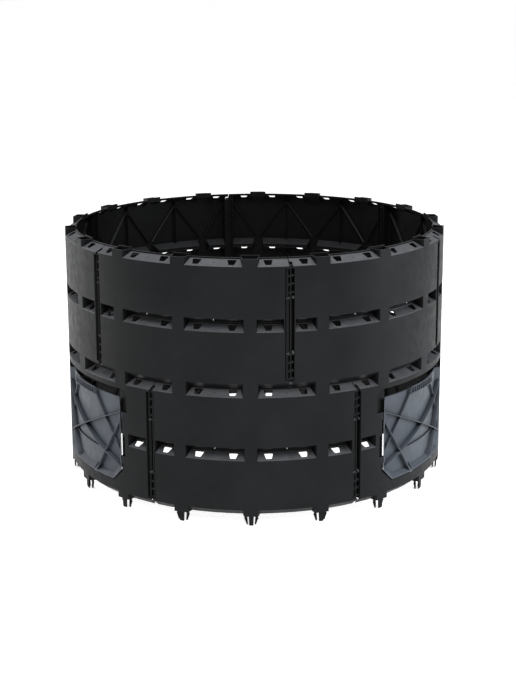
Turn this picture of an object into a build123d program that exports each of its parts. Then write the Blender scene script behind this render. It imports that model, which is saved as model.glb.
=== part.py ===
"""Compost bin: two tiers of six moulded wall panels, two lift-out hatches and twelve seam rods.

Millimetres, +Z up, the origin on the ground under the middle of the ring, the front towards -Y.
Angles are in degrees, 0 at the front and growing towards +X.
"""
import math
import os

from build123d import *

os.makedirs("parts", exist_ok=True)

# Ring
R_OUT = 600.0            # outer face of the wall
WALL = 3.0               # wall thickness
PANEL_ARC = 60.0         # one panel of the ring
PEG_ARC = 20.0           # pitch of the columns, pegs and sockets
TIER_PITCH = 379.0       # height from one tier to the next

# Heights of one panel, from its own lower wall edge
VENT_FOOT = 149.0        # outer edge of the vent shelf
VENT_OPEN = 39.0         # height of the vent pocket at the wall face
RIM_FOOT = 337.0         # outer edge of the rim shelf
SOCKET_TOP = 360.0       # top of the peg sockets
LIP = 4.3                # upright lip on the inner edge of the rim shelf

# Vent pockets
DEPTH = 32.0             # how far a pocket reaches in from the wall face
SHELF_RISE = 16.5        # how much the shelf climbs over that depth
ROOF_DROP = 15.0         # how much the roof falls over that depth
SHEET_T = 2.0            # thickness of the shelves and roofs
FOOT_IN = 20.0           # depth of the sheet under the lower wall edge
FOOT_DROP = 17.5         # how much that sheet falls over its depth
COL_OUT = 36.0           # wall left between two pockets, at the wall face
COL_IN = 42.0            # the same at the back of the pockets
HOLE_ARC = 5.0           # from the middle of a pocket to a drain hole
HOLE_IN = 8.5            # outer end of a drain hole behind the wall face
HOLE_WIDE = 27.0         # inner end of a drain hole
HOLE_NARROW = 16.0       # outer end of a drain hole
HOLE_LONG = 20.0
HOLE_CORNER = 2.5
DOT_D = 3.0              # small round hole in the rim shelf over the middle of a pocket

# Sockets and pegs
SOCK_OUT = 42.0          # socket block at the wall face
SOCK_IN = 54.0           # socket block at its back
SOCK_WALL = 2.0          # side and back walls of the socket
SOCK_DEEP = 31.5         # clear depth under the socket top
SOCK_SKIRT = 4.0         # how far the socket walls hang under the rim shelf
SOCK_TAB = 4.6           # how far the back wall of the socket stands above its top
PEG_LONG = 30.0          # prong length under the shoulder
PEG_FIT = 0.5            # free play of the barbs at each side of the socket
PRONG_IN = 5.0           # front of the middle prong behind the wall face
PRONG_BACK = 9.0         # how far the side prongs stand behind the middle one
PRONG_T = 4.5            # radial thickness of the prongs
PRONG_SLOPE = 1.5        # how far the front of a prong falls back at its tip
PRONG_ROUND = 6.0        # height of that slope
PRONG_MID = 15.0         # width of the middle prong at its root
PRONG_TIP = 12.5         # width of the middle prong at its tip
PRONG_SIDE = 7.0         # width of a side prong at its root
PRONG_THIN = 3.6         # width of a side prong at its tip
PRONG_LEAN = 2.2         # how far the inner edges of the side prongs lean in
BARB = 2.2               # how far a barb stands out
BARB_AT = 11.0           # barb below the shoulder

# Inner ribs
RIB_T = 2.5
RIB_DEEP = 11.0          # upright ribs behind the pocket middles
BRACE_STEP = 2.0         # how much lower the slanted braces stand
BRACE_END = 12.0         # from the ends of the braces to the pockets and the rim

# Seam between two panels, measured round the wall from the nominal joint line
SEAM_LEFT = -5.8         # right edge of the left panel
SEAM_RIGHT = 20.6        # left edge of the right panel
SEAM_CLEAR = 7.5         # clear depth behind the rod
FLOOR_GAP = 1.5          # between the two overlapping seam floors
RIM_LEFT = 6.0           # end of the rim and foot of the left panel
RIM_RIGHT = 16.6         # end of the rim and foot of the right panel, beside the rod
RIM_BEHIND = 8.5         # the same behind the rod
STRIP_IN = 3.3           # guard strip, from the right edge of the left panel
STRIP_FREE = 3.0         # guard strip to rod, between the combs
COMB_FREE = 5.5          # guard strip to rod, in the combs
ROD_SHIFT = 4.0          # rod axis to the right of the middle of the seam
ROD_D = 5.0
ROD_FIT = 0.3            # play round the rod
ROD_IN = 10.0            # rod axis behind the wall face
ROD_FOOT = 4.0           # lower end of the rod
ROD_HEAD = 8.6
ROD_SEAT = 0.2           # play under the rod head
COMB = 85.0              # height of each comb
COMB_COUNT = 4           # knuckles of one panel in each comb
KNUCKLE_T = 2.6
KNUCKLE_GAP = 0.3        # play between the two knuckles of a pair
KNUCKLE_PITCH = 24.0
KNUCKLE_END = 7.0        # from the end of the panel to its last knuckle
KNUCKLE_RIM = 1.6        # material round the rod hole
KNUCKLE_OUT = 5.0        # how far the knuckles stand out from the rod axis

# Hatch
HATCH_HALF = 19.6        # half arc of the hatch at the wall face
HATCH_T = 3.0
DISH = 15.0              # how deep the hatch plate lies behind the wall face
FOOT_PLAY = 3.0          # gap under the foot of the hatch
FOOT_FLARE = 12.0        # how much the foot climbs over the depth of the dish
CORNER = 38.0            # cut across the lower corners
CORNER_FLARE = 10.5
HATCH_HIGH = 287.5
GRIP_HALF = 74.0
GRIP_TALL = 23.0
GRIP_OVER = 11.5         # how far the grip stands above the plate
GRIP_TEETH = 11
GRIP_STEP = 1.5          # the teeth lie behind the two bars of the grip
GRIP_BAR = 3.5           # radial thickness of the upper bar
HATCH_RIB = 2.5
RIB_STEP = 0.6           # ribs behind the wall face
CROSS_HIGH = 251.0       # where the crossed ribs meet the sides
CROSS_LOW = 76.0
OUTER_HIGH = 226.0       # ribs from the sides to the foot
INNER_LOW = 114.0        # ribs from the ends of the grip to the sides
INNER_DEEP = 8.5         # how far these ribs stand out from the plate
LEVEL_RIB = 109.0        # low level rib between the sides
LEVEL_HALF = 127.0
LEVEL_DEEP = 5.0
PAD_SIDE = 72.0          # foot pads, from the middle of the hatch
PAD_WIDE = 17.0
PAD_T = 6.0
PAD_PLAY = 0.3           # play between a foot pad and the sill
EAR_TALL = 18.0
EAR_T = 6.4
EAR_FIT = 0.6            # play between an ear and the guide channel
EAR_END = 0.4            # arc between an ear and the end of its notch
EAR_PASS = 2.0           # how far the lifted ears pass the lower edges of the notches
LIFT = 21.0              # how far the hatch lifts before the ears meet the notches

# Doorway in a hatch panel
DOOR_SILL = 29.0
DOOR_HEAD = 322.0
HEAD_ROUND = 14.0        # rounded upper corners
DOOR_PLAY = 0.73         # arc between the hatch and the doorway at each side
NOTCH_DEEP = 1.97        # arc of the wider upper part beyond the doorway
NOTCH_LOW = 248.0
SLOT_DEEP = 0.92         # arc of the side slots beyond the doorway
SLOT_LOW = 110.0
SLOT_HIGH = 179.0
LEDGE = 13.0             # depth of the head and sill ledges
GUIDE_PLAY = 0.35        # arc between the notches and the guide walls
KEEPER_T = 4.0           # bar behind the hatch ears
KEEPER_PLAY = 1.2        # between the keeper bars and the slanted sides of the hatch
SLOT_LAP = 4.2           # keeper bars behind the edge of the hatch, beside the side slots
CORNER_LAP = 18.0        # the same behind the cut lower corners, from the edge of the doorway
POST = 0.3               # arc of wall between the notches and the half pockets
POST_SLANT = 0.7         # arc by which that side slants

# Derived sizes
INTO = 1.0                             # how far joined pieces run into each other
TALL = TIER_PITCH + PEG_LONG           # taller than a panel, for cutters
HALF = PANEL_ARC / 2
COLUMNS = (-PEG_ARC, 0.0, PEG_ARC)
MIDDLES = (-PEG_ARC / 2, PEG_ARC / 2)  # middles of the two whole pockets
R_IN = R_OUT - WALL                    # inner face of the wall
R_BACK = R_OUT - DEPTH                 # outer face of the pocket back
R_ROD = R_OUT - ROD_IN
R_DISH = R_OUT - DISH
SHEET = SHEET_T * 1.15                 # upright thickness of the sloped sheets
SHELF = SHELF_RISE / DEPTH             # slope of the shelves
ROOF = ROOF_DROP / DEPTH               # slope of the roofs
FOOT = FOOT_DROP / FOOT_IN             # slope of the sheet under the wall edge
R_FOOT = R_OUT - FOOT_IN
VENT_TOP = VENT_FOOT + VENT_OPEN
RIM_TOP = RIM_FOOT + SHELF_RISE        # inner edge of the rim shelf
SHOULDER = TIER_PITCH - SOCKET_TOP     # how far a peg shoulder hangs under the wall
GROUND = SHOULDER + PEG_LONG           # lower wall edge above the ground
ROD_U = (SEAM_LEFT + SEAM_RIGHT) / 2 + ROD_SHIFT
SEAM_FLOOR = R_ROD - ROD_D / 2 - SEAM_CLEAR
DOOR_HALF = HATCH_HALF + DOOR_PLAY     # half arc of the doorway
DOOR_CORNER = CORNER + FOOT_PLAY
NOTCH_HALF = DOOR_HALF + NOTCH_DEEP
SLOT_HALF = DOOR_HALF + SLOT_DEEP
HATCH_LOW = DOOR_SILL + FOOT_PLAY
PLATE_BACK = R_DISH - HATCH_T
GRIP_HIGH = HATCH_HIGH + GRIP_OVER
GRIP_LOW = GRIP_HIGH - GRIP_TALL
BASE = (Align.CENTER, Align.CENTER, Align.MIN)


def polar(r, deg, z=0.0):
    a = math.radians(deg)
    return (r * math.sin(a), -r * math.cos(a), z)


def arc_deg(length, r=R_OUT):
    """Angle of a length measured round the wall."""
    return math.degrees(length / r)


EDGE_L = -HALF + arc_deg(SEAM_RIGHT)   # left wall edge of a panel
EDGE_R = HALF + arc_deg(SEAM_LEFT)     # right wall edge of a panel
FLANGE = arc_deg(WALL)


def turned(deg, shape):
    return Rot(0, 0, deg) * shape


def sector(points, a0, a1):
    """Sweep a closed outline of (radius, height) points round the axis from a0 to a1."""
    wire = Polyline([(r, 0, z) for r, z in points], close=True)
    return Rot(0, 0, a0 - 90) * revolve(make_face(wire), Axis.Z, a1 - a0)


def ring_box(r0, r1, a0, a1, z0, z1):
    """Block between two radii, two angles and two heights."""
    low, high = sorted((a0, a1))
    return sector([(r0, z0), (r1, z0), (r1, z1), (r0, z1)], low, high)


def wedge(left, right, z0, z1, grow=0.0):
    """Prism between two slanted sides; each side is (angle at the wall face, angle at the pocket back)."""
    past = 0.45
    corners = []
    for (at_face, at_back), sign in ((left, -1), (right, 1)):
        xo, yo, _ = polar(R_OUT, at_face + sign * arc_deg(grow))
        xi, yi, _ = polar(R_BACK, at_back + sign * arc_deg(grow, R_BACK))
        dx = past * (xo - xi)
        dy = past * (yo - yi)
        corners.append(((xo + dx, yo + dy), (xi - dx, yi - dy)))
    (lo, li), (ro, ri) = corners
    apex = polar(R_OUT + 2 * DEPTH, (left[0] + right[0]) / 2)[:2]
    wire = Polyline([(x, y, z0) for x, y in (lo, apex, ro, ri, li)], close=True)
    return extrude(make_face(wire), amount=z1 - z0, dir=(0, 0, 1))


def upright(points, thick, deg):
    """Plate of a (radius, height) outline, standing across the wall at one angle."""
    wire = Polyline([(-thick / 2, -r, z) for r, z in points], close=True)
    return turned(deg, extrude(make_face(wire), amount=thick, dir=(1, 0, 0)))


def face_plate(points, r0, r1):
    """Plate of a (sideways, height) outline facing the front, between two radii."""
    wire = Polyline([(u, -r1, z) for u, z in points], close=True)
    return extrude(make_face(wire), amount=r1 - r0, dir=(0, 1, 0))


def brace(a0, z0, a1, z1, thick, r0, r1):
    """Straight rib between two places on the curved wall, cut to the two radii."""
    p0 = Vector(*polar(r1, a0, z0))
    p1 = Vector(*polar(r1, a1, z1))
    out = Vector(*polar(1, (a0 + a1) / 2))
    along = p1 - p0
    slab = Plane(origin=(p0 + p1) / 2, x_dir=along.normalized(), z_dir=out)
    slab = slab * Box(along.length, thick, TALL / 2)
    low, high = sorted((a0, a1))
    return slab & ring_box(r0, r1, low - 4, high + 4, -TALL, TALL)


def column_sides(deg, wide_out, wide_in):
    """Angles of the two slanted sides of a column at the wall face and at the pocket back."""
    o = arc_deg(wide_out / 2)
    i = arc_deg(wide_in / 2, R_BACK)
    return (deg - o, deg - i), (deg + o, deg + i)


def pocket_spans():
    """Left and right sides of the four pockets of one panel: half, full, full, half."""
    sides = [column_sides(c, COL_OUT, COL_IN) for c in COLUMNS]
    left_end = (EDGE_L + FLANGE, EDGE_L + FLANGE)
    right_end = (EDGE_R - FLANGE, EDGE_R - FLANGE)
    return [(left_end, sides[0][0]), (sides[0][1], sides[1][0]),
            (sides[1][1], sides[2][0]), (sides[2][1], right_end)]


def vent_pocket(left, right):
    """Shell and cavity of one vent pocket in the wall."""
    back_low = VENT_FOOT + SHELF_RISE
    back_high = VENT_TOP - ROOF_DROP
    a0 = left[0] - 3
    a1 = right[0] + 3
    shell = sector([(R_OUT - INTO, VENT_FOOT - SHEET + SHELF * INTO),
                    (R_OUT - INTO, VENT_TOP + SHEET - ROOF * INTO),
                    (R_BACK - WALL, back_high + SHEET - ROOF * WALL),
                    (R_BACK - WALL, back_low - SHEET + SHELF * WALL)], a0, a1)
    shell = shell & wedge(left, right, 0, TALL, grow=WALL * 0.9)
    past = 10.0
    cavity = sector([(R_OUT + past, VENT_FOOT - SHELF * past), (R_OUT + past, VENT_TOP + ROOF * past),
                     (R_BACK, back_high), (R_BACK, back_low)], a0, a1)
    return shell, cavity & wedge(left, right, 0, TALL)


def drain_hole(deg, shelf_z):
    """Cutter for one tapered drain hole in the shelf whose outer edge is at shelf_z."""
    r1 = R_OUT - HOLE_IN
    r0 = r1 - HOLE_LONG
    outline = [(HOLE_NARROW / 2, -r1), (HOLE_WIDE / 2, -r0), (-HOLE_WIDE / 2, -r0), (-HOLE_NARROW / 2, -r1)]
    face = make_face(Polyline([(x, y, shelf_z - 3 * WALL) for x, y in outline], close=True))
    face = fillet(face.vertices(), HOLE_CORNER)
    return turned(deg, extrude(face, amount=SHELF_RISE + 3 * WALL, dir=(0, 0, 1)))


def seam_strip(u0, u1, r0, r1, z0, z1, side):
    """Upright bar beside a seam; side is -1 for the left end of a panel and 1 for the right end."""
    return ring_box(r0, r1, side * HALF + arc_deg(u0), side * HALF + arc_deg(u1), z0, z1)


def knuckle_heights():
    low = [KNUCKLE_END + k * KNUCKLE_PITCH for k in range(COMB_COUNT)]
    return low + [RIM_FOOT - z for z in low]


def seam_parts():
    """What a panel carries at its two ends: flanges, seam floors, guard strip and knuckles."""
    over = ROD_D / 2 + KNUCKLE_RIM
    strip = SEAM_LEFT + STRIP_IN
    beside_rod = ROD_U - ROD_D / 2
    r_knuckle = R_ROD + KNUCKLE_OUT
    flange = [(R_OUT - INTO, 0), (R_OUT - INTO, RIM_FOOT), (R_BACK, RIM_TOP), (R_BACK - WALL, RIM_TOP),
              (R_BACK - WALL, 0)]
    add = [sector(flange, EDGE_R - FLANGE, EDGE_R), sector(flange, EDGE_L, EDGE_L + FLANGE)]
    # right end: floor, guard strip and the lower knuckle of each pair
    add.append(seam_strip(SEAM_LEFT - WALL, ROD_U + 2, SEAM_FLOOR - WALL, SEAM_FLOOR, 0, RIM_FOOT, 1))
    add.append(seam_strip(strip, beside_rod - STRIP_FREE, SEAM_FLOOR - INTO, R_ROD + STRIP_FREE,
                          COMB, RIM_FOOT - COMB, 1))
    add.append(seam_strip(strip, beside_rod - COMB_FREE, SEAM_FLOOR - INTO, r_knuckle - INTO, 0, RIM_FOOT, 1))
    for z in knuckle_heights():
        add.append(seam_strip(strip, ROD_U + over, SEAM_FLOOR - INTO, r_knuckle, z, z + KNUCKLE_T, 1))
    # left end: overlapping floor behind, and the upper knuckle of each pair
    r_lap = SEAM_FLOOR - WALL - FLOOR_GAP
    add.append(seam_strip(ROD_U - ROD_D, SEAM_RIGHT + WALL, r_lap - WALL, r_lap, 0, RIM_FOOT, -1))
    for z in knuckle_heights():
        z1 = z + KNUCKLE_T + KNUCKLE_GAP
        add.append(seam_strip(ROD_U - over, SEAM_RIGHT + INTO, SEAM_FLOOR + FLOOR_GAP, r_knuckle,
                              z1, z1 + KNUCKLE_T, -1))
    return add


def rod_holes():
    hole = Pos(0, 0, -TALL / 2) * Cylinder(ROD_D / 2 + ROD_FIT, 2 * TALL, align=BASE)
    return [Pos(*polar(R_ROD, side * HALF + arc_deg(ROD_U))) * hole for side in (-1, 1)]


def prong(outline, r1):
    """Prong of a foot peg from its outline seen from outside; its front slopes back at the tip."""
    r0 = r1 - PRONG_T
    root = max(z for u, z in outline)
    tip = min(z for u, z in outline)
    profile = [(r0, root), (r1, root), (r1, tip + PRONG_ROUND), (r1 - PRONG_SLOPE, tip), (r0, tip)]
    return face_plate(outline, r0, r1) & upright(profile, SOCK_IN, 0)


def peg_and_socket():
    """Rim socket and foot peg of one column, built at the front: what to add, to cut and to add last."""
    left, right = column_sides(0, SOCK_OUT, SOCK_IN)
    near = PEG_ARC / 2

    def column(r0, r1, z0, z1, grow=0.0):
        return wedge(left, right, z0, z1, grow) & ring_box(r0, r1, -near, near, z0, z1)

    back = R_BACK - WALL
    tab = SOCKET_TOP + SOCK_TAB
    collar = [(R_OUT, RIM_FOOT - SHEET - SOCK_SKIRT), (R_OUT, SOCKET_TOP), (back + SOCK_WALL, SOCKET_TOP),
              (back + SOCK_WALL, tab), (back, tab), (back, RIM_TOP - SHEET + SHELF * WALL - SOCK_SKIRT)]
    block = sector(collar, -near, near) & wedge(left, right, 0, TALL)
    shoe = column(R_BACK + INTO, R_OUT, -SHOULDER, WALL)
    slot = column(back + SOCK_WALL, R_IN, SOCKET_TOP - SOCK_DEEP, TALL, -SOCK_WALL)
    hollow = column(R_BACK - INTO, R_IN, WALL - SHOULDER, SHOULDER, -SOCK_WALL)
    r_mid = R_OUT - PRONG_IN
    r_side = r_mid - PRONG_BACK
    root = INTO - SHOULDER
    tip = -SHOULDER - PEG_LONG
    barb_z = -SHOULDER - BARB_AT
    mid = [(-PRONG_MID / 2, root), (PRONG_MID / 2, root), (PRONG_TIP / 2, tip), (-PRONG_TIP / 2, tip)]
    play = SOCK_WALL + PEG_FIT
    barb = (SOCK_OUT + (SOCK_IN - SOCK_OUT) * (R_OUT - r_side) / DEPTH) / 2 - play
    outer = barb - BARB
    inner = outer - PRONG_SIDE
    inner_tip = inner - PRONG_LEAN
    side = [(outer, root), (outer, barb_z + BARB), (barb, barb_z), (outer, barb_z - BARB),
            (inner_tip + PRONG_THIN, tip), (inner_tip, tip), (inner, root)]
    prongs = [prong(mid, r_mid)] + [prong([(s * u, z) for u, z in side], r_side) for s in (-1, 1)]
    return [block, shoe], [slot, hollow], prongs


def panel_ribs():
    """Upright ribs behind the pocket middles and the braces that run from their ends to the columns."""
    r1 = R_IN + INTO
    r0 = R_IN - RIB_DEEP

    def under(z, r):
        return z - SHEET + SHELF * (R_OUT - r) + INTO

    def over(z, slope, r):
        return z + SHEET - slope * (R_OUT - r) - INTO

    out = []
    fields = ((0.0, FOOT, VENT_FOOT), (VENT_TOP, ROOF, RIM_FOOT))
    for low, slope, high in fields:
        outline = [(r1, over(low, slope, r1)), (r0, over(low, slope, r0)),
                   (r0, under(high, r0)), (r1, under(high, r1))]
        out += [upright(outline, RIB_T, c) for c in MIDDLES]
    lean = arc_deg(3 * RIB_T)
    ends = [(c, c + s * (PEG_ARC / 2 - lean)) for c in MIDDLES for s in (-1, 1)]
    ends += [(EDGE_L + FLANGE, -PEG_ARC - lean), (EDGE_R - FLANGE, PEG_ARC + lean)]
    for top, foot in ends:
        for low, slope, high in fields:
            out.append(brace(top, high - BRACE_END, foot, low + BRACE_END, RIB_T, r0 + BRACE_STEP, r1))
    return out


def doorway_parts():
    """Cutter of the doorway, and the frame behind it with the guide channels for the hatch ears."""
    x, xn, xs = [R_OUT * math.sin(math.radians(a)) for a in (DOOR_HALF, NOTCH_HALF, SLOT_HALF)]
    half = [(x - DOOR_CORNER, DOOR_SILL), (x, DOOR_SILL + DOOR_CORNER), (x, SLOT_LOW), (xs, SLOT_LOW),
            (xs, SLOT_HIGH), (x, SLOT_HIGH), (x, NOTCH_LOW), (xn, NOTCH_LOW), (xn, DOOR_HEAD - HEAD_ROUND),
            (xn - HEAD_ROUND * 0.3, DOOR_HEAD - HEAD_ROUND * 0.3), (xn - HEAD_ROUND, DOOR_HEAD)]
    outline = half + [(-u, z) for u, z in reversed(half)]
    opening = face_plate(outline, R_BACK - DEPTH, R_OUT + DEPTH)
    channel = R_IN - EAR_T - 2 * EAR_FIT
    guide = NOTCH_HALF + GUIDE_PLAY
    ledge = R_IN - LEDGE
    sill = DOOR_HALF - arc_deg(DOOR_CORNER)
    low = DOOR_SILL + DOOR_CORNER
    high = DOOR_HEAD + INTO
    frame = [ring_box(ledge, R_IN + INTO, -guide, guide, DOOR_HEAD, DOOR_HEAD + WALL),
             ring_box(ledge, R_IN + INTO, -sill, sill, DOOR_SILL - WALL, DOOR_SILL)]
    r_keep = channel - KEEPER_T
    tight = HATCH_HALF - arc_deg(R_OUT - channel - KEEPER_PLAY)
    loose = HATCH_HALF - arc_deg(SLOT_LAP)
    keepers = ((tight, low, SLOT_LOW), (loose, SLOT_LOW, SLOT_HIGH), (tight, SLOT_HIGH, high))

    def corner(lap, r1, s):
        outline = [(x - DOOR_CORNER - lap, DOOR_SILL - INTO), (x + INTO - lap, low),
                   (x + INTO - lap, low + INTO), (x + WALL, low + INTO),
                   (x - DOOR_CORNER + WALL, DOOR_SILL - INTO)]
        band = ring_box(r_keep, r1, s * (sill - arc_deg(2 * CORNER_LAP)), s * (guide + FLANGE), 0, TALL)
        return band & face_plate([(s * u, z) for u, z in outline], R_BACK - DEPTH, R_OUT + DEPTH)

    for s in (-1, 1):
        end = s * (guide + FLANGE)
        frame.append(ring_box(r_keep, R_IN + INTO, s * guide, end, low, high))
        frame += [ring_box(r_keep, channel, s * inner, end, z0, z1) for inner, z0, z1 in keepers]
        frame += [corner(CORNER_LAP, channel, s), corner(0.0, R_IN + INTO, s)]
    return opening, frame


def panel(doorway):
    """One wall panel, centred on the front; doorway chooses the hatch panel."""
    rim = [(R_OUT, RIM_FOOT), (R_BACK, RIM_TOP), (R_BACK, RIM_TOP + LIP), (R_BACK - WALL, RIM_TOP + LIP),
           (R_BACK - WALL, RIM_TOP - SHEET + SHELF * WALL), (R_IN, RIM_FOOT - SHEET + SHELF * WALL),
           (R_IN, RIM_FOOT - 2 * WALL), (R_OUT, RIM_FOOT - 2 * WALL)]
    foot = [(R_OUT, 0), (R_OUT, 2 * WALL), (R_IN, 2 * WALL), (R_IN, SHEET - FOOT * WALL),
            (R_FOOT, SHEET - FOOT_DROP), (R_FOOT, -FOOT_DROP)]
    at_floor = RIM_FOOT + SHELF * (R_OUT - SEAM_FLOOR)
    behind = [(SEAM_FLOOR, at_floor)] + rim[1:5] + [(SEAM_FLOOR, at_floor - SHEET)]
    rim_l, behind_l, rim_r = [arc_deg(u) for u in (RIM_RIGHT, RIM_BEHIND, RIM_LEFT)]
    add = [ring_box(R_IN, R_OUT, EDGE_L, EDGE_R, 0, RIM_FOOT), sector(rim, rim_l - HALF, HALF + rim_r),
           sector(behind, behind_l - HALF, rim_l - HALF + FLANGE), sector(foot, rim_l - HALF, HALF + rim_r)]
    add += seam_parts()
    peg_add, peg_cut, peg_prongs = peg_and_socket()
    add += [turned(c, s) for c in COLUMNS for s in peg_add]
    spans = pocket_spans()
    half_hole = HALF - HOLE_ARC
    pairs = [c + s * HOLE_ARC for c in MIDDLES for s in (-1, 1)]
    holes = [drain_hole(a, RIM_FOOT) for a in pairs + [-half_hole, half_hole]]
    for c in MIDDLES:
        holes.append(Pos(*polar(R_IN - RIB_DEEP - DOT_D, c, RIM_FOOT)) * Cylinder(DOT_D / 2, DEPTH))
    if doorway:
        post = NOTCH_HALF + POST
        spans = [(spans[0][0], (-post, -post - POST_SLANT)), ((post, post + POST_SLANT), spans[3][1])]
        holes += [drain_hole(s * half_hole, VENT_FOOT) for s in (-1, 1)]
    else:
        holes += [drain_hole(a, VENT_FOOT) for a in pairs + [-half_hole, half_hole]]
    vents = [vent_pocket(left, right) for left, right in spans]
    body = add[0].fuse(*add[1:], *[shell for shell, cavity in vents])
    if doorway:
        opening, frame = doorway_parts()
        body = body.cut(opening).fuse(*frame)
    else:
        for rib in panel_ribs():
            body = body.fuse(rib)
    slots = [turned(c, s) for c in COLUMNS for s in peg_cut]
    for cutters in ([cavity for shell, cavity in vents], slots, rod_holes(), holes):
        body = body.cut(*cutters)
    return body.fuse(*[turned(c, s) for c in COLUMNS for s in peg_prongs])


def hatch_block(grow, r0):
    """Outer form of the hatch, smaller by grow; the sides, foot and corners flare out to the wall face."""
    low = HATCH_LOW + grow
    flare = FOOT_FLARE / DISH
    at_face = HATCH_HALF - arc_deg(grow)
    at_back = at_face - arc_deg(DEPTH)
    body = sector([(R_OUT, low), (R_OUT, HATCH_HIGH), (r0, HATCH_HIGH), (r0, low + flare * (R_OUT - r0))],
                  -HATCH_HALF - 2, HATCH_HALF + 2)
    body = body & wedge((-at_face, -at_back), (at_face, at_back), 0, TALL)
    inset = CORNER / 2 + CORNER_FLARE
    for s in (-1, 1):
        p = Vector(*polar(R_OUT, s * at_face, low + CORNER))
        q = Vector(*polar(R_OUT, s * (at_face - arc_deg(CORNER)), low))
        m = Vector(*polar(R_DISH, s * (at_face - arc_deg(inset)), low + inset))
        normal = (q - p).cross(m - p) * s
        cutter = Plane(origin=p, x_dir=q - p, z_dir=normal) * Box(TALL, TALL, TALL / 3, align=BASE)
        body = body - cutter
    return body


def hatch():
    """Lift-out hatch: dished plate with crossed ribs, a comb grip and four ears, centred on the front."""
    outer = hatch_block(0.0, PLATE_BACK)
    inner_side = HATCH_HALF - arc_deg(DISH + HATCH_T)
    cavity = hatch_block(HATCH_T, PLATE_BACK - DISH) & ring_box(R_DISH, R_OUT + DISH, -HALF, HALF, 0, TALL)
    cavity = cavity.fuse(ring_box(R_DISH, R_OUT + DISH, -inner_side, inner_side, HATCH_HIGH - DISH, TALL))
    shell = outer - cavity
    side = HATCH_HALF
    grip = arc_deg(GRIP_HALF)
    r_rib = R_OUT - RIB_STEP
    lines = (((-side, CROSS_HIGH), (side, CROSS_LOW), r_rib),
             ((-side, OUTER_HIGH), (-arc_deg(PAD_SIDE), DOOR_SILL), r_rib),
             ((-grip, GRIP_LOW), (-side, INNER_LOW), R_DISH + INNER_DEEP))
    ribs = [ring_box(R_DISH - INTO, R_DISH + LEVEL_DEEP, -arc_deg(LEVEL_HALF), arc_deg(LEVEL_HALF),
                     LEVEL_RIB, LEVEL_RIB + HATCH_RIB)]
    for s in (-1, 1):
        for (a0, z0), (a1, z1), top in lines:
            ribs.append(brace(s * a0, z0, s * a1, z1, HATCH_RIB, R_DISH - INTO, top))
    ribs = [outer & rib for rib in ribs]
    more = [ring_box(R_DISH - INTO, R_OUT, -grip, grip, GRIP_LOW, GRIP_LOW + HATCH_RIB),
            ring_box(R_OUT - GRIP_BAR, R_OUT, -grip, grip, GRIP_HIGH - HATCH_RIB, GRIP_HIGH)]
    r_tooth = R_OUT - GRIP_STEP
    tooth = [(R_DISH - INTO, GRIP_LOW + INTO), (r_tooth, GRIP_LOW + INTO), (r_tooth, GRIP_HIGH - INTO),
             (R_OUT - GRIP_BAR, GRIP_HIGH - INTO), (R_DISH - INTO, HATCH_HIGH - INTO)]
    last = grip - arc_deg(HATCH_RIB / 2)
    for k in range(GRIP_TEETH + 1):
        more.append(upright(tooth, HATCH_RIB, last * (2 * k / GRIP_TEETH - 1)))
    ear_r = R_IN - EAR_FIT
    pad = arc_deg(PAD_SIDE)
    pad_half = arc_deg(PAD_WIDE / 2)
    for s in (-1, 1):
        for notch, tip in ((NOTCH_LOW, NOTCH_HALF - EAR_END), (SLOT_LOW, SLOT_HALF - EAR_END)):
            z = notch + EAR_PASS - LIFT
            more.append(ring_box(ear_r - EAR_T, ear_r, s * (HATCH_HALF - 1), s * tip, z, z + EAR_TALL))
        more.append(ring_box(R_OUT - PAD_T, R_OUT, s * pad - pad_half, s * pad + pad_half,
                             DOOR_SILL + PAD_PLAY, HATCH_LOW + HATCH_T))
    return shell.fuse(*ribs, *more)


def rod():
    """Seam rod with a small head, standing at the right end of a panel centred on the front."""
    seat = RIM_FOOT - KNUCKLE_END + 2 * KNUCKLE_T + KNUCKLE_GAP + ROD_SEAT
    x, y, _ = polar(R_ROD, HALF + arc_deg(ROD_U))
    shaft = Pos(x, y, ROD_FOOT) * Cylinder(ROD_D / 2, seat + INTO - ROD_FOOT, align=BASE)
    return shaft.fuse(Pos(x, y, seat) * Cylinder(ROD_HEAD / 2, ROD_HEAD / 2, align=BASE))


def save(shape, name, deg, z):
    solids = (Pos(0, 0, z) * turned(deg, shape)).solids()
    if len(solids) != 1:
        print("WARNING", name, "has", len(solids), "solids")
    export_step(solids[0], "parts/%s.step" % name)


PLAIN = panel(False)
HATCH_PANEL = panel(True)
HATCH = hatch()
ROD = rod()

LOWER = (("lower_panel_front", PLAIN), ("hatch_panel_right", HATCH_PANEL), ("lower_panel_right", PLAIN),
         ("lower_panel_rear", PLAIN), ("lower_panel_left", PLAIN), ("hatch_panel_left", HATCH_PANEL))
for k, (name, shape) in enumerate(LOWER):
    lower_deg = PANEL_ARC * k
    upper_deg = lower_deg - PEG_ARC
    save(shape, name, lower_deg, GROUND)
    save(PLAIN, "upper_panel_%d" % (k + 1), upper_deg, GROUND + TIER_PITCH)
    save(ROD, "seam_rod_lower_%d" % (k + 1), lower_deg, GROUND)
    save(ROD, "seam_rod_upper_%d" % (k + 1), upper_deg, GROUND + TIER_PITCH)
for k, name in ((1, "hatch_right"), (5, "hatch_left")):
    save(HATCH, name, PANEL_ARC * k, GROUND)
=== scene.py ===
# %% [markdown]
# # A compost bin of moulded panels
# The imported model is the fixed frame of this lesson: every wall panel, seam rod and hatch is already there
# at its true size, in metres, with the front towards -Y. We dress it: finishes first, then the small
# moulded details that the plain solids lack, and last the light and the camera.

# %% Load the frame
import math

import bpy
from mathutils import Matrix, Vector


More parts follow.
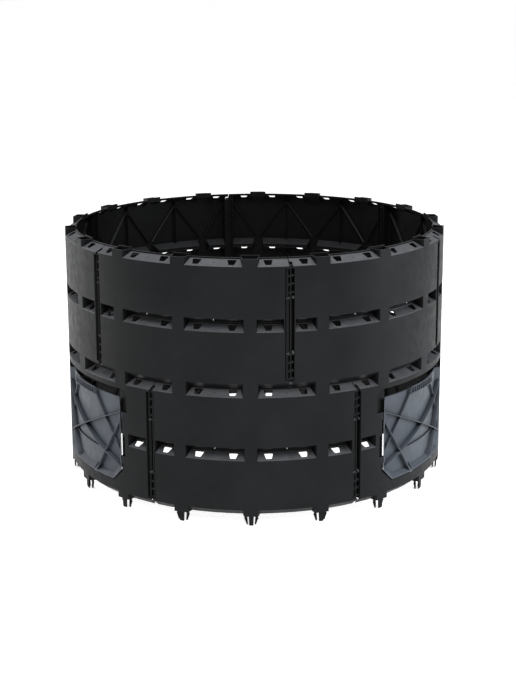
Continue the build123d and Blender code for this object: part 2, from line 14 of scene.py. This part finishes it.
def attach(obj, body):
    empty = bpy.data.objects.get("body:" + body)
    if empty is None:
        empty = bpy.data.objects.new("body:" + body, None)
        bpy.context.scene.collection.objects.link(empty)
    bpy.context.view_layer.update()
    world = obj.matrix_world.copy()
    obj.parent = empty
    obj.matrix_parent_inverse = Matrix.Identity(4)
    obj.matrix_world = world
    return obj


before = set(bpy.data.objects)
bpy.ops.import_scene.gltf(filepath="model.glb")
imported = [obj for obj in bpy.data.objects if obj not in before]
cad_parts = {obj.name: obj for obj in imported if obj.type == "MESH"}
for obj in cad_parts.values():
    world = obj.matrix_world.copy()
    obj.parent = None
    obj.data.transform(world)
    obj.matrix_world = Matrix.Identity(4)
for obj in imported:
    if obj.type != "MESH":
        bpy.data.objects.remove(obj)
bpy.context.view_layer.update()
PANELS = [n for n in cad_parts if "panel" in n]
RODS = [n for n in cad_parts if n.startswith("seam_rod")]
HATCHES = [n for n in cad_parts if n.startswith("hatch_") and "panel" not in n]
MM = 0.001               # the frame is in metres, and most sizes in this lesson are in millimetres
print("panels", len(PANELS), "rods", len(RODS), "hatches", len(HATCHES))

# %% [markdown]
# ## Finishes
# Colours are written as the hex values a colour picker shows. Blender's shaders work in linear light, so
# one function converts them. A second small function adds a shader node, sets it up and links its inputs.

# %% Colour and node helpers
def linear(hex_colour):
    """sRGB hex such as "2b2c2e" to linear red, green, blue and alpha."""
    parts = [int(hex_colour[i:i + 2], 16) / 255 for i in (0, 2, 4)]
    return [p / 12.92 if p <= 0.04045 else ((p + 0.055) / 1.055) ** 2.4 for p in parts] + [1.0]


def node(tree, kind, links=None, values=None, stops=(), **settings):
    """Add a node, set its properties, input values and ramp stops, and link its inputs to other outputs."""
    made = tree.nodes.new(kind)
    for name, value in settings.items():
        setattr(made, name, value)
    for name, value in (values or {}).items():
        made.inputs[name].default_value = value
    for name, output in (links or {}).items():
        tree.links.new(output, made.inputs[name])
    for i, (position, colour) in enumerate(stops):
        made.color_ramp.elements[i].position = position
        made.color_ramp.elements[i].color = linear(colour)
    return made


def new_material(name):
    """An empty material: its node tree, its shader and the object coordinates in metres."""
    material = bpy.data.materials.new(name)
    material.use_nodes = True
    tree = material.node_tree
    tree.nodes.clear()
    place = node(tree, "ShaderNodeTexCoord").outputs["Object"]
    shader = node(tree, "ShaderNodeBsdfPrincipled")
    node(tree, "ShaderNodeOutputMaterial", {"Surface": shader.outputs["BSDF"]})
    return material, tree, shader, place


print("mid grey 808080 is", round(linear("808080")[0], 3), "in linear light")

# %% [markdown]
# ### Where a surface looks
# Moulded plastic is one colour all through, but it doesn't look the same all over. Faces that look up are
# paler, from a thin film of dust and from painted light from above, so the shelves are a little paler than
# the wall. Faces that look towards the axis of the ring, and those that lie behind the wall face, get a
# deeper black as painted shade, the shade inside the ring and in recesses. Narrow corners, such as the roots
# of the hatch ribs, are darker as painted shade. These tones could be painted by hand. Here the direction and
# place of the surface give them, so they fit any panel.

# %% Masks from the direction and place of a surface
# LOOKS_IN, LIES_BEHIND and STANDS_STEEP place the painted shade inside the ring and in recesses. LIES_LEVEL
# and the two masks after it place the dust and the painted light from above. IN_A_CORNER places the painted
# shade in corners.
LOOKS_IN = {"From Min": -0.2, "From Max": -0.7, "To Min": 0.0, "To Max": 1.0}     # towards the axis
LIES_BEHIND = {"From Min": 596 * MM, "From Max": 586 * MM, "To Min": 0.0, "To Max": 0.9}
STANDS_STEEP = {"From Min": 0.4, "From Max": 0.8, "To Min": 1.0, "To Max": 0.0}
LIES_LEVEL = {"From Min": 0.45, "From Max": 0.85, "To Min": 0.0, "To Max": 1.0}
DUST_AND_LIGHT_PATCHES = {"From Min": 0.3, "From Max": 0.7, "To Min": 0.7, "To Max": 1.0}
DUST_AND_LIGHT_OUTSIDE = {"From Min": -0.4, "From Max": 0.3, "To Min": 0.15, "To Max": 1.0}  # less dust and painted top light on the inside
IN_A_CORNER = {"From Min": 0.85, "From Max": 0.4, "To Min": 0.0, "To Max": 0.85}
CORNER_REACH = 11        # how far from a corner the painted shade reaches


def facing(tree, place):
    """How far a surface looks up and away from the axis of the ring, and its distance from that axis."""
    normal = node(tree, "ShaderNodeTexCoord").outputs["Normal"]
    up_part = node(tree, "ShaderNodeSeparateXYZ", {"Vector": normal}).outputs["Z"]
    level = node(tree, "ShaderNodeVectorMath", {0: place}, {1: (1, 1, 0)}, operation="MULTIPLY")
    outward = node(tree, "ShaderNodeVectorMath", {0: level.outputs["Vector"]}, operation="NORMALIZE")
    away = node(tree, "ShaderNodeVectorMath", {0: outward.outputs["Vector"], 1: normal},
                operation="DOT_PRODUCT")
    radius = node(tree, "ShaderNodeVectorMath", {0: level.outputs["Vector"]}, operation="LENGTH")
    return up_part, away.outputs["Value"], radius.outputs["Value"]


def painted_shade_inside(tree, colour, tone, up_part, away, radius):
    """Painted shade: a deeper tone on faces that look inwards, and on steep ones behind the wall face."""
    inside = node(tree, "ShaderNodeMapRange", {"Value": away}, LOOKS_IN).outputs["Result"]
    behind = node(tree, "ShaderNodeMapRange", {"Value": radius}, LIES_BEHIND).outputs["Result"]
    steep = node(tree, "ShaderNodeMapRange", {"Value": up_part}, STANDS_STEEP).outputs["Result"]
    recess = node(tree, "ShaderNodeMath", {0: behind, 1: steep}, operation="MULTIPLY").outputs["Value"]
    shaded = node(tree, "ShaderNodeMath", {0: inside, 1: recess}, operation="MAXIMUM").outputs["Value"]
    mix = node(tree, "ShaderNodeMixRGB", {"Fac": shaded, "Color1": colour}, {"Color2": linear(tone)})
    return mix.outputs["Color"]


def dust_film_and_top_light(tree, colour, tone, patches, up_part, away):
    """Thin patchy film on faces that look up: dust, and painted light from above."""
    settled = node(tree, "ShaderNodeMapRange", {"Value": up_part}, LIES_LEVEL).outputs["Result"]
    patchy = node(tree, "ShaderNodeMapRange", {"Value": patches}, DUST_AND_LIGHT_PATCHES).outputs["Result"]
    outside = node(tree, "ShaderNodeMapRange", {"Value": away}, DUST_AND_LIGHT_OUTSIDE).outputs["Result"]
    film = node(tree, "ShaderNodeMath", {0: settled, 1: patchy}, operation="MULTIPLY").outputs["Value"]
    film = node(tree, "ShaderNodeMath", {0: film, 1: outside}, operation="MULTIPLY").outputs["Value"]
    mix = node(tree, "ShaderNodeMixRGB", {"Fac": film, "Color1": colour}, {"Color2": linear(tone)})
    return mix.outputs["Color"]


def painted_corner_shade(tree, colour, tone):
    """Painted shade: a darker tone in narrow corners."""
    corners = node(tree, "ShaderNodeAmbientOcclusion", values={"Distance": CORNER_REACH * MM}, samples=8,
                   only_local=True)
    caught = node(tree, "ShaderNodeMapRange", {"Value": corners.outputs["AO"]}, IN_A_CORNER).outputs["Result"]
    mix = node(tree, "ShaderNodeMixRGB", {"Fac": caught, "Color1": colour}, {"Color2": linear(tone)})
    return mix.outputs["Color"]


print("soil is caught within", CORNER_REACH, "mm of a corner")

# %% [markdown]
# ### Moulded polypropylene
# Walls and hatches are made as injection-moulded polypropylene. The mould is spark eroded, which leaves a
# fine, even grain that breaks up reflections. Such a grain is about 0.5 mm wide; here it is drawn at 1.6 mm
# so that a close view can show it. Slow cloudy changes in tone are the flow marks of recycled plastic, and
# scuffs change how rough it is. All sharp edges are shaded as if slightly rounded, as a mould leaves them.

# %% Panel, hatch and rod plastic
GRAIN = 1.6              # width of the grain as drawn
GRAIN_DEEP = 0.12
GRAIN_STRENGTH = 0.35
CLOUD = 180              # width of a flow mark
SCUFF = 24               # width of a scuff
EDGE_ROUND = 1.4         # radius that sharp edges are shaded with
PLASTIC_IOR = 1.49


def moulded_plastic(name, dark, light, rough_low, rough_high, gloss, grain=GRAIN, cloud=CLOUD, dust_and_light_tone=None,
                    inside_shade=None, corner_shade=None):
    """Plastic between two tones and two roughnesses, with dust and painted top light, painted shade inside
    and in recesses, or painted shade in corners where given.
    """
    material, tree, shader, place = new_material(name)
    clouds = node(tree, "ShaderNodeTexNoise", {"Vector": place},
                  {"Scale": 1 / (cloud * MM), "Detail": 3.0, "Roughness": 0.55})
    scuffs = node(tree, "ShaderNodeTexNoise", {"Vector": place}, {"Scale": 1 / (SCUFF * MM), "Detail": 4.0})
    colour = node(tree, "ShaderNodeValToRGB", {"Fac": clouds.outputs["Fac"]},
                  stops=[(0.35, dark), (0.68, light)]).outputs["Color"]
    up_part, away, radius = facing(tree, place)
    if inside_shade:
        colour = painted_shade_inside(tree, colour, inside_shade, up_part, away, radius)
    if dust_and_light_tone:
        colour = dust_film_and_top_light(tree, colour, dust_and_light_tone, scuffs.outputs["Fac"], up_part, away)
    if corner_shade:
        colour = painted_corner_shade(tree, colour, corner_shade)
    tree.links.new(colour, shader.inputs["Base Color"])
    rough = node(tree, "ShaderNodeMapRange", {"Value": scuffs.outputs["Fac"]},
                 {"From Min": 0.3, "From Max": 0.7, "To Min": rough_low, "To Max": rough_high})
    tree.links.new(rough.outputs["Result"], shader.inputs["Roughness"])
    fine = node(tree, "ShaderNodeTexNoise", {"Vector": place}, {"Scale": 1 / (grain * MM), "Detail": 2.0})
    edge = node(tree, "ShaderNodeBevel", values={"Radius": EDGE_ROUND * MM}, samples=4)
    bump = node(tree, "ShaderNodeBump", {"Height": fine.outputs["Fac"], "Normal": edge.outputs["Normal"]},
                {"Strength": GRAIN_STRENGTH, "Distance": GRAIN_DEEP * MM})
    tree.links.new(bump.outputs["Normal"], shader.inputs["Normal"])
    shader.inputs["IOR"].default_value = PLASTIC_IOR
    shader.inputs["Specular IOR Level"].default_value = gloss
    return material


# Panel plastic: paler on faces that look up, for dust and painted light from above, and a deeper black inside
# the ring and in recesses as painted shade.
panel_plastic = moulded_plastic("black_moulded_polypropylene", "0f1011", "151617", 0.42, 0.56, 0.085,
                                dust_and_light_tone="454649", inside_shade="070707")
# A lighter, glossier copy of the panel plastic as a painted highlight, so the shelf noses, vent lips and seam
# ledges show as bright lines.
painted_edge_highlight = moulded_plastic("black_polypropylene_worn_edge", "1b1c1d", "232425", 0.35, 0.45, 0.2,
                            dust_and_light_tone="55565a")
# Hatch plastic, darker in narrow corners as painted shade.
hatch_plastic = moulded_plastic("grey_moulded_polypropylene", "363a41", "3e444b", 0.45, 0.60, 0.22,
                                corner_shade="14171b")
rod_plastic = moulded_plastic("black_extruded_rod", "101111", "161717", 0.35, 0.45, 0.12,
                              grain=1.0, cloud=60)
for names, material in ((PANELS, panel_plastic), (HATCHES, hatch_plastic), (RODS, rod_plastic)):
    for name in names:
        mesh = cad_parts[name].data
        mesh.materials.clear()
        mesh.materials.append(material)
print("finishes set on", len(PANELS + HATCHES + RODS), "nodes")

# %% [markdown]
# ## Rounded edges of the shelves
# On the real wall each shelf ends in a rounded nose at the wall face, and the vent shelves also have a low
# lip along their inner edge. Light from above draws both as thin bright lines. A shelf edge could be
# bevelled, but the solids stay as they are, so each edge gets a bead of its own: a small disc is stood up
# across the wall, stretched to the section of the bead and spun about the axis of the ring. A set is made
# once for a panel at the front, then copied round the ring.

# %% A bead swept round the wall
R_OUT = 600.0            # outer face of the wall
BEAD_SIDES = 10
BEAD_STEP = 1.5          # degrees of one step of the sweep
BEAD_SMOOTH = 50         # edges flatter than this many degrees are shaded smooth
MERGE = 0.01             # corners nearer than this become one


def settle(piece):
    """Put the place, turn and size of a piece into its mesh."""
    bpy.ops.object.select_all(action="DESELECT")
    piece.select_set(True)
    bpy.context.view_layer.objects.active = piece
    bpy.ops.object.transform_apply(location=True, rotation=True, scale=True)


def bead(radius, height, across, tall, start, end):
    """Closed bead of an oval section, swept round the axis between two angles; 0 is the front."""
    middle = (0, -radius * MM, height * MM)
    bpy.ops.object.select_all(action="DESELECT")
    bpy.ops.mesh.primitive_circle_add(vertices=BEAD_SIDES, radius=0.5 * MM, fill_type="NGON", location=middle,
                                      rotation=(0, math.pi / 2, 0))
    made = bpy.context.object
    settle(made)
    bpy.ops.object.mode_set(mode="EDIT")
    bpy.ops.mesh.select_all(action="SELECT")
    bpy.ops.transform.resize(value=(1, across, tall), center_override=middle)
    bpy.ops.mesh.spin(steps=max(2, round((end - start) / BEAD_STEP)), angle=math.radians(end - start),
                      center=(0, 0, 0), axis=(0, 0, -1))
    bpy.ops.mesh.select_all(action="SELECT")
    bpy.ops.mesh.remove_doubles(threshold=MERGE * MM)
    bpy.ops.mesh.normals_make_consistent(inside=False)
    bpy.ops.object.mode_set(mode="OBJECT")
    made.rotation_euler.z = math.radians(start)
    settle(made)
    bpy.ops.object.shade_smooth_by_angle(angle=math.radians(BEAD_SMOOTH))
    return made


print("a bead has", BEAD_SIDES, "sides and a step every", BEAD_STEP, "degrees")

# %% Joining, copying and dressing pieces
def joined(pieces, name):
    """Join several pieces to one."""
    bpy.ops.object.select_all(action="DESELECT")
    for piece in pieces:
        piece.select_set(True)
    bpy.context.view_layer.objects.active = pieces[0]
    bpy.ops.object.join()
    pieces[0].name = name
    return pieces[0]


def copied(piece, name, turn_deg, lift):
    """Copy a piece with a mesh of its own, turned round the axis and lifted."""
    bpy.ops.object.select_all(action="DESELECT")
    piece.select_set(True)
    bpy.context.view_layer.objects.active = piece
    bpy.ops.object.duplicate(linked=False)
    made = bpy.context.object
    made.name = name
    made.rotation_euler.z = math.radians(turn_deg)
    made.location.z = lift * MM
    settle(made)
    return made


def dress(piece, finish, body):
    """Give a piece its finish, in a material slot of its mesh, and the body that it moves with."""
    piece.data.materials.clear()
    piece.data.materials.append(finish)
    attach(piece, body)


PANELS_ROUND = 6
PANEL_ARC = 360 / PANELS_ROUND  # degrees of one panel
COLUMNS = (-20, 0, 20)   # middles of the columns of a panel, degrees
GROUND = 49.0            # lower wall edge of the lower tier
TIER = 379.0             # from one tier to the next
TIERS = (("lower", 0, GROUND), ("upper", COLUMNS[0], GROUND + TIER))  # name, turn and lift of a tier
HATCH_TURNS = {"hatch_right": PANEL_ARC, "hatch_left": 5 * PANEL_ARC}
print("tiers", TIERS, "hatches at", HATCH_TURNS)

# %% Edge beads of a plain panel and of a hatch panel
VENT_FOOT = 149.0        # outer edge of the vent shelf, over the lower wall edge
RIM_FOOT = 337.0         # outer edge of the rim shelf
SLOPE = 16.5 / 32        # climb of the shelves
NOSE = 3.2               # rounded outer edge
LIP_IN = 30.2            # middle of the inner lip behind the wall face
LIP_WIDE = 3.0
LIP_TALL = 6.0
ENDS = (-27.75, 29.16)   # inner faces of the two end flanges, degrees
FACE_HALF = 1.72         # half a column at the wall face
BACK_HALF = 2.12         # half a column at the back of the pockets
RIM_ENDS = (-28.41, 30.57)
RIM_HALF = 2.0           # half a socket block at the wall face
POST = 22.6              # side of the half pockets beside a hatch, at the wall face
POST_BACK = 23.3         # the same at the back


def gaps(half, ends=ENDS):
    """Angles between the three columns of a panel."""
    edges = [ends[0]] + [c + s * half for c in COLUMNS for s in (-1, 1)] + [ends[1]]
    return list(zip(edges[0::2], edges[1::2]))


def edge_set(name, face_spans, back_spans):
    """Rim noses, vent noses and inner vent lips of one panel at the front."""
    inset = NOSE / 2
    rise = SLOPE * inset
    beads = [bead(R_OUT - inset, RIM_FOOT + rise / 2, NOSE, NOSE, a, b) for a, b in gaps(RIM_HALF, RIM_ENDS)]
    beads += [bead(R_OUT - inset, VENT_FOOT + rise / 2, NOSE, NOSE, a, b) for a, b in face_spans]
    lip_height = VENT_FOOT + SLOPE * LIP_IN
    beads += [bead(R_OUT - LIP_IN, lip_height, LIP_WIDE, LIP_TALL, a, b) for a, b in back_spans]
    return joined(beads, name)


plain_set = edge_set("plain_edges", gaps(FACE_HALF), gaps(BACK_HALF))
hatch_set = edge_set("hatch_panel_edges", [(ENDS[0], -POST), (POST, ENDS[1])],
                     [(ENDS[0], -POST_BACK), (POST_BACK, ENDS[1])])
edge_sets = []
for k in range(PANELS_ROUND):
    for tier, turn_deg, lift in TIERS:
        has_hatch = tier == "lower" and PANEL_ARC * k in HATCH_TURNS.values()
        source = hatch_set if has_hatch else plain_set
        edge_sets.append(copied(source, "%s_edges_%d" % (tier, k + 1), PANEL_ARC * k + turn_deg, lift))
for source in (plain_set, hatch_set):
    bpy.data.objects.remove(source)
# The beads take the painted edge highlight.
for piece in edge_sets:
    dress(piece, painted_edge_highlight, "ring")
print("edge sets", len(edge_sets), "faces of the first", [len(p.data.polygons) for p in edge_sets[:3]])

# %% [markdown]
# ## Ledges in the seams
# Each seam is closed by two combs of knuckles, with a plain channel between them. Where a comb ends, the
# channel has a small sloped ledge at each side of the rod, and light from above shows it as a pale step. A
# block of the same form closes the foot of the seam under the rod. A ledge could be cut from the panel, but
# the solids stay as they are. Each starts as a cube at its size; the front of its top is pulled down to the
# slope and all edges are bevelled.

# %% A block with a sloped top
def select_where(piece, test):
    """Select the corners of a mesh whose place passes a test, with the edges and faces between them."""
    corners = piece.data.vertices
    for corner in corners:
        corner.select = test(corner.co)
    for edge in piece.data.edges:
        edge.select = all(corners[i].select for i in edge.vertices)
    for face in piece.data.polygons:
        face.select = all(corners[i].select for i in face.vertices)


def wedge(size, middle, fall, rounding):
    """Block at its size and place, with the front of its top pulled down and all edges bevelled."""
    bpy.ops.object.select_all(action="DESELECT")
    bpy.ops.mesh.primitive_cube_add(size=MM, location=[v * MM for v in middle], scale=size)
    made = bpy.context.object
    settle(made)
    select_where(made, lambda at: at.y < middle[1] * MM and at.z > middle[2] * MM)
    bpy.ops.object.mode_set(mode="EDIT")
    bpy.ops.mesh.select_mode(type="VERT")
    bpy.ops.transform.translate(value=(0, 0, -fall * MM))
    bpy.ops.mesh.select_all(action="SELECT")
    bpy.ops.mesh.bevel(offset=rounding * MM, segments=2, affect="EDGES")
    bpy.ops.mesh.normals_make_consistent(inside=False)
    bpy.ops.object.mode_set(mode="OBJECT")
    return made


# %% Sloped ledges at the ends of the combs
LEDGE_TALL = 9.0
LEDGE_FALL = 5.0         # fall of the top towards the front
LEDGE_BACK = 581.5       # radii of the ledge
LEDGE_FRONT = 595.0
LEDGE_ROUND = 0.8
COMB_ENDS = (252.0, 91.0)  # tops of the ledges under the upper comb and over the lower comb
BESIDE_ROD = ((-2.4, 7.4), (15.4, 21.4))  # left and right of the rod, from the joint line
UNDER_ROD = (4.5, 16.2, 3.4)  # left, right and top of the block that closes the foot of a seam


def ledge(left, right, top):
    """Ledge between two places beside the joint line, with its top at a height over the lower wall edge."""
    size = (right - left, LEDGE_FRONT - LEDGE_BACK, LEDGE_TALL)
    middle = ((left + right) / 2, -(LEDGE_BACK + LEDGE_FRONT) / 2, top - LEDGE_TALL / 2)
    return wedge(size, middle, LEDGE_FALL, LEDGE_ROUND)


ledges = [ledge(a, b, top) for top in COMB_ENDS for a, b in BESIDE_ROD] + [ledge(*UNDER_ROD)]
seam_set = joined(ledges, "seam_ledges")
seams = []
for k in range(PANELS_ROUND):
    for tier, turn_deg, lift in TIERS:
        joint_deg = PANEL_ARC * (k + 0.5) + turn_deg
        seams.append(copied(seam_set, "%s_seam_ledges_%d" % (tier, k + 1), joint_deg, lift))
bpy.data.objects.remove(seam_set)
# The ledges take the painted edge highlight.
for piece in seams:
    dress(piece, painted_edge_highlight, "ring")
print("seam ledges", len(seams), "faces each", len(seams[0].data.polygons))

# %% [markdown]
# ## Gate stubs with a painted highlight
# Melted plastic enters the mould of a panel through small gates, one over the middle of each full vent
# pocket. The stub that breaks off there is given a pale colour as a painted highlight, so each of these
# pockets shows a small pale dot under its roof. A pale spot could be painted, but a stub also catches light.
# It starts as a short cylinder, and its lower end is rounded by a bevel.

# %% Gate stubs under the pocket roofs
# Pale plastic for the stubs: a painted highlight, the small bright dot under each pocket roof.
stub_highlight = moulded_plastic("strained_polypropylene", "8a8c8e", "a3a5a6", 0.35, 0.5, 0.3, cloud=12)
GATE_IN = 6.5            # behind the wall face
GATE_FOOT = 182.2        # lower end, over the lower wall edge
GATE_WIDE = 3.6
GATE_TALL = 3.6
GATE_ROUND = 0.9
GATE_SIDES = 14
GATE_SMOOTH = 40         # edges flatter than this many degrees are shaded smooth
GATE_TURNS = (-10, 10)   # middles of the full pockets, degrees


def gate(turn_deg):
    """Short stub with a rounded lower end, at one angle of a panel at the front."""
    bpy.ops.object.select_all(action="DESELECT")
    place = (0, -(R_OUT - GATE_IN) * MM, (GATE_FOOT + GATE_TALL / 2) * MM)
    bpy.ops.mesh.primitive_cylinder_add(vertices=GATE_SIDES, radius=GATE_WIDE / 2 * MM, depth=GATE_TALL * MM,
                                        location=place)
    made = bpy.context.object
    settle(made)
    select_where(made, lambda at: at.z < place[2])
    bpy.ops.object.mode_set(mode="EDIT")
    bpy.ops.mesh.bevel(offset=GATE_ROUND * MM, segments=3, affect="EDGES")
    bpy.ops.mesh.select_all(action="SELECT")
    bpy.ops.mesh.normals_make_consistent(inside=False)
    bpy.ops.object.mode_set(mode="OBJECT")
    made.rotation_euler.z = math.radians(turn_deg)
    settle(made)
    bpy.ops.object.shade_smooth_by_angle(angle=math.radians(GATE_SMOOTH))
    return made


gate_set = joined([gate(turn_deg) for turn_deg in GATE_TURNS], "highlit_gate_stubs")
gates = []
for tier, turn_deg, lift in reversed(TIERS):
    for k in range(PANELS_ROUND):
        if tier == "upper" or PANEL_ARC * k not in HATCH_TURNS.values():
            gates.append(copied(gate_set, "%s_gate_marks_%d" % (tier, k + 1), PANEL_ARC * k + turn_deg, lift))
bpy.data.objects.remove(gate_set)
# The stubs take the painted highlight.
for piece in gates:
    dress(piece, stub_highlight, "ring")
print("gate marks", len(GATE_TURNS) * len(gates))

# %% [markdown]
# ## Rolled edge of the hatches
# The upper edge of a hatch is rolled over so that it is stiff and kind to the hand. It could be a fold of
# the plate; a bead along the top of the dished plate gives the same outline, and it rides on its hatch.

# %% Rolled edges
HATCH_TOP = 287.5        # over the lower wall edge
PLATE_IN = 16.5          # middle of the plate behind the wall face
PLATE_HALF = 17.8        # half arc of the plate, degrees
ROLL_WIDE = 4.4
ROLL_TALL = 4.0
rolled_edge = bead(R_OUT - PLATE_IN, HATCH_TOP, ROLL_WIDE, ROLL_TALL, -PLATE_HALF, PLATE_HALF)
for name, turn_deg in HATCH_TURNS.items():
    dress(copied(rolled_edge, name + "_rolled_edge", turn_deg, GROUND), hatch_plastic, name)
bpy.data.objects.remove(rolled_edge)
print("rolled edges on", list(HATCH_TURNS))

# %% [markdown]
# ## Gussets at the foot of the hatches
# Over each foot pad of a hatch, two small upright gussets tie the foot to the plate. They are wedges too,
# thin and steep, so that the side is nearly a triangle.

# %% Foot gussets
GUSSET = (2.4, 13.5, 23.0)   # thickness, depth and height
GUSSET_IN = 7.8              # middle of the gusset behind the wall face
GUSSET_LOW = 33.0            # lower end over the lower wall edge
GUSSET_FALL = 17.0           # fall of the top towards the front
GUSSET_ROUND = 0.5
GUSSET_SIDES = (63.0, 75.0)  # from the middle of the hatch


def gusset(side):
    """Upright gusset of a hatch at the front, at one place beside its middle."""
    made = wedge(GUSSET, (0, -(R_OUT - GUSSET_IN), GUSSET_LOW + GUSSET[2] / 2), GUSSET_FALL, GUSSET_ROUND)
    made.rotation_euler.z = side / R_OUT
    settle(made)
    return made


gusset_set = joined([gusset(s * u) for s in (-1, 1) for u in GUSSET_SIDES], "foot_gussets")
for name, turn_deg in HATCH_TURNS.items():
    dress(copied(gusset_set, name + "_foot_gussets", turn_deg, GROUND), hatch_plastic, name)
bpy.data.objects.remove(gusset_set)
print("foot gussets on", list(HATCH_TURNS))

# %% [markdown]
# ## Floor, light and camera
# A wide pale floor and a bright, even sky stand in for a photo studio. One large softbox hangs over the bin
# and lights the ground inside it. A smaller one hangs high in front, where the sloped shelves at the front
# throw its light back to the camera; those further round turn away from it and look darker. Three more
# stand at the front and at the sides. The floor glows a little, so that it stays white beside the bin.

# %% Floor
FLOOR_RADIUS = 90.0      # metres
FLOOR_SIDES = 96
FLOOR_DOWN = 0.5         # how far it lies under the peg tips
FLOOR_TONE = 0.7         # changes in tone to a metre
FLOOR_GLOW = 0.5
bpy.ops.object.select_all(action="DESELECT")
bpy.ops.mesh.primitive_circle_add(vertices=FLOOR_SIDES, radius=FLOOR_RADIUS, fill_type="NGON",
                                  location=(0, 0, -FLOOR_DOWN * MM))
floor = bpy.context.object
floor.name = "studio_floor"
floor_finish, tree, shader, place = new_material("pale_studio_floor")
tone = node(tree, "ShaderNodeTexNoise", {"Vector": place}, {"Scale": FLOOR_TONE, "Detail": 2.0})
pale = node(tree, "ShaderNodeValToRGB", {"Fac": tone.outputs["Fac"]},
            stops=[(0.3, "f2f2f2"), (0.7, "f5f5f5")])
tree.links.new(pale.outputs["Color"], shader.inputs["Base Color"])
shader.inputs["Roughness"].default_value = 0.9
shader.inputs["Specular IOR Level"].default_value = 0.1
shader.inputs["Emission Color"].default_value = linear("ffffff")
shader.inputs["Emission Strength"].default_value = FLOOR_GLOW
floor.data.materials.append(floor_finish)
print("floor", floor.dimensions.x, "m across")

# %% Studio light
WHITE = (1, 1, 1)
COOL = (0.88, 0.94, 1.0)
SKY = 0.55
SOFTBOXES = (            # name, place, aim, width, height, watts and colour; metres
    ("overhead_softbox", (0.0, 0.3, 3.6), (0, 0, 0), 2.6, 2.6, 60, WHITE),
    ("high_front_softbox", (-0.25, -2.1, 3.8), (0, -0.58, 0.5), 0.9, 0.9, 65, WHITE),
    ("front_softbox", (0.6, -4.6, 5.2), (0, 0, 0.4), 3.0, 2.0, 205, WHITE),
    ("right_softbox", (4.4, -0.6, 1.8), (0, 0, 0.4), 1.4, 2.6, 140, COOL),
    ("left_softbox", (-4.4, 1.6, 1.6), (0, 0, 0.4), 1.4, 2.6, 100, WHITE),
)
for name, place, aim, width, height, power, colour in SOFTBOXES:
    light = bpy.data.lights.new(name, "AREA")
    light.shape = "RECTANGLE"
    light.size = width
    light.size_y = height
    light.energy = power
    light.color = colour
    lamp = bpy.data.objects.new(name, light)
    bpy.context.collection.objects.link(lamp)
    lamp.location = place
    lamp.rotation_euler = (Vector(aim) - Vector(place)).to_track_quat("-Z", "Y").to_euler()
world = bpy.data.worlds.new("studio_sky")
world.use_nodes = True
world.node_tree.nodes["Background"].inputs["Color"].default_value = linear("ffffff")
world.node_tree.nodes["Background"].inputs["Strength"].default_value = SKY
bpy.context.scene.world = world
bpy.context.scene.view_settings.view_transform = "Standard"

# %% Camera
IMAGE_HEIGHT = 688
FOCAL = 1355.3           # pixels
CENTRE_UP = 74           # the lens axis meets the picture this many pixels above its middle
SENSOR = 36
CAMERA_AT = (0, -4.2634, 1.555)  # before the camera is turned round the bin, metres
FAR = 500                # metres
round_bin = math.radians(1.3)
pitch = math.radians(12.28)
yaw = math.radians(0.144)
roll = math.radians(-0.258)
right = Vector((math.cos(yaw), -math.sin(yaw), 0))
ahead = Vector((math.sin(yaw) * math.cos(pitch), math.cos(yaw) * math.cos(pitch), -math.sin(pitch)))
up = right.cross(ahead)
side = right * math.cos(roll) + up * math.sin(roll)
top = up * math.cos(roll) - right * math.sin(roll)
lens = bpy.data.cameras.new("photo_camera")
lens.sensor_width = SENSOR
lens.lens = FOCAL / IMAGE_HEIGHT * SENSOR
lens.shift_y = -CENTRE_UP / IMAGE_HEIGHT
lens.clip_end = FAR
camera = bpy.data.objects.new("photo_camera", lens)
bpy.context.collection.objects.link(camera)
axes = Matrix((side, top, -ahead)).transposed().to_4x4()
camera.matrix_world = Matrix.Rotation(round_bin, 4, "Z") @ Matrix.Translation(CAMERA_AT) @ axes
bpy.context.scene.camera = camera
print("camera at", [round(v, 3) for v in camera.matrix_world.translation], "lens", round(lens.lens, 1), "mm")
